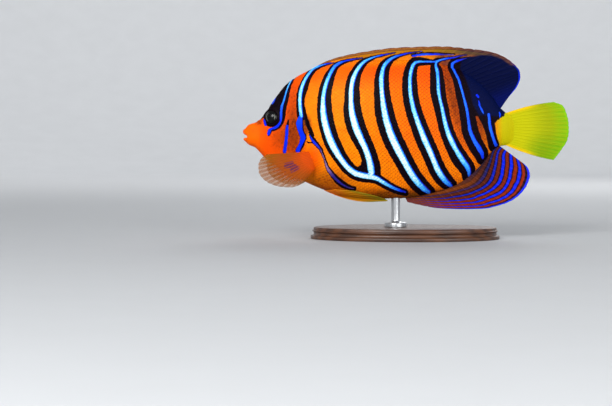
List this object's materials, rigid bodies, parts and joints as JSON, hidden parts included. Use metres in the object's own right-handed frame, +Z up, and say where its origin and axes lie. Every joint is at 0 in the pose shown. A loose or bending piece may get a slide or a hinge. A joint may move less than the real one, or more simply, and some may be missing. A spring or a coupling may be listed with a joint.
{
  "type": "regal angelfish on a display stand",
  "caption": "Still life-size model of a regal angelfish, swimming level with spread fins, held over a plain oval base by a short rod.",
  "frame": {"origin": "on the floor, under the middle of the model's length and width", "axes": "-X towards the snout, +X towards the tail, -Y towards the fish's left side, +Z up"},
  "size_m": [0.2204, 0.076, 0.1302],
  "materials": {
    "head_skin": "satin scaled skin, orange with a dark eye mask and bright blue lines",
    "striped_skin": "satin scaled skin, orange with pale blue stripes edged in black",
    "dorsal_fin_skin": "satin fin skin, orange brown in front and dark blue behind",
    "anal_fin_skin": "satin fin skin with curved blue and brick red bands",
    "tail_fin_skin": "satin fin skin, yellow to lime",
    "pectoral_fin_skin": "thin clear orange fin skin",
    "pelvic_fin_skin": "satin fin skin, orange yellow",
    "eye": "wet dark eye with a thin grey pupil ring",
    "stand_wood": "dark oiled hardwood",
    "stand_steel": "brushed steel rod"
  },
  "bodies": {
    "root": {"head": "head_skin", "torso": "striped_skin", "tail_peduncle": "striped_skin", "dorsal_fin": "dorsal_fin_skin", "anal_fin": "anal_fin_skin", "caudal_fin": "tail_fin_skin", "pectoral_fin_left": "pectoral_fin_skin", "pectoral_fin_right": "pectoral_fin_skin", "pelvic_fin_left": "pelvic_fin_skin", "pelvic_fin_right": "pelvic_fin_skin", "eye_left": "eye", "eye_right": "eye", "stand_base": "stand_wood", "stand_rod": "stand_steel"}
  },
  "joints": []
}
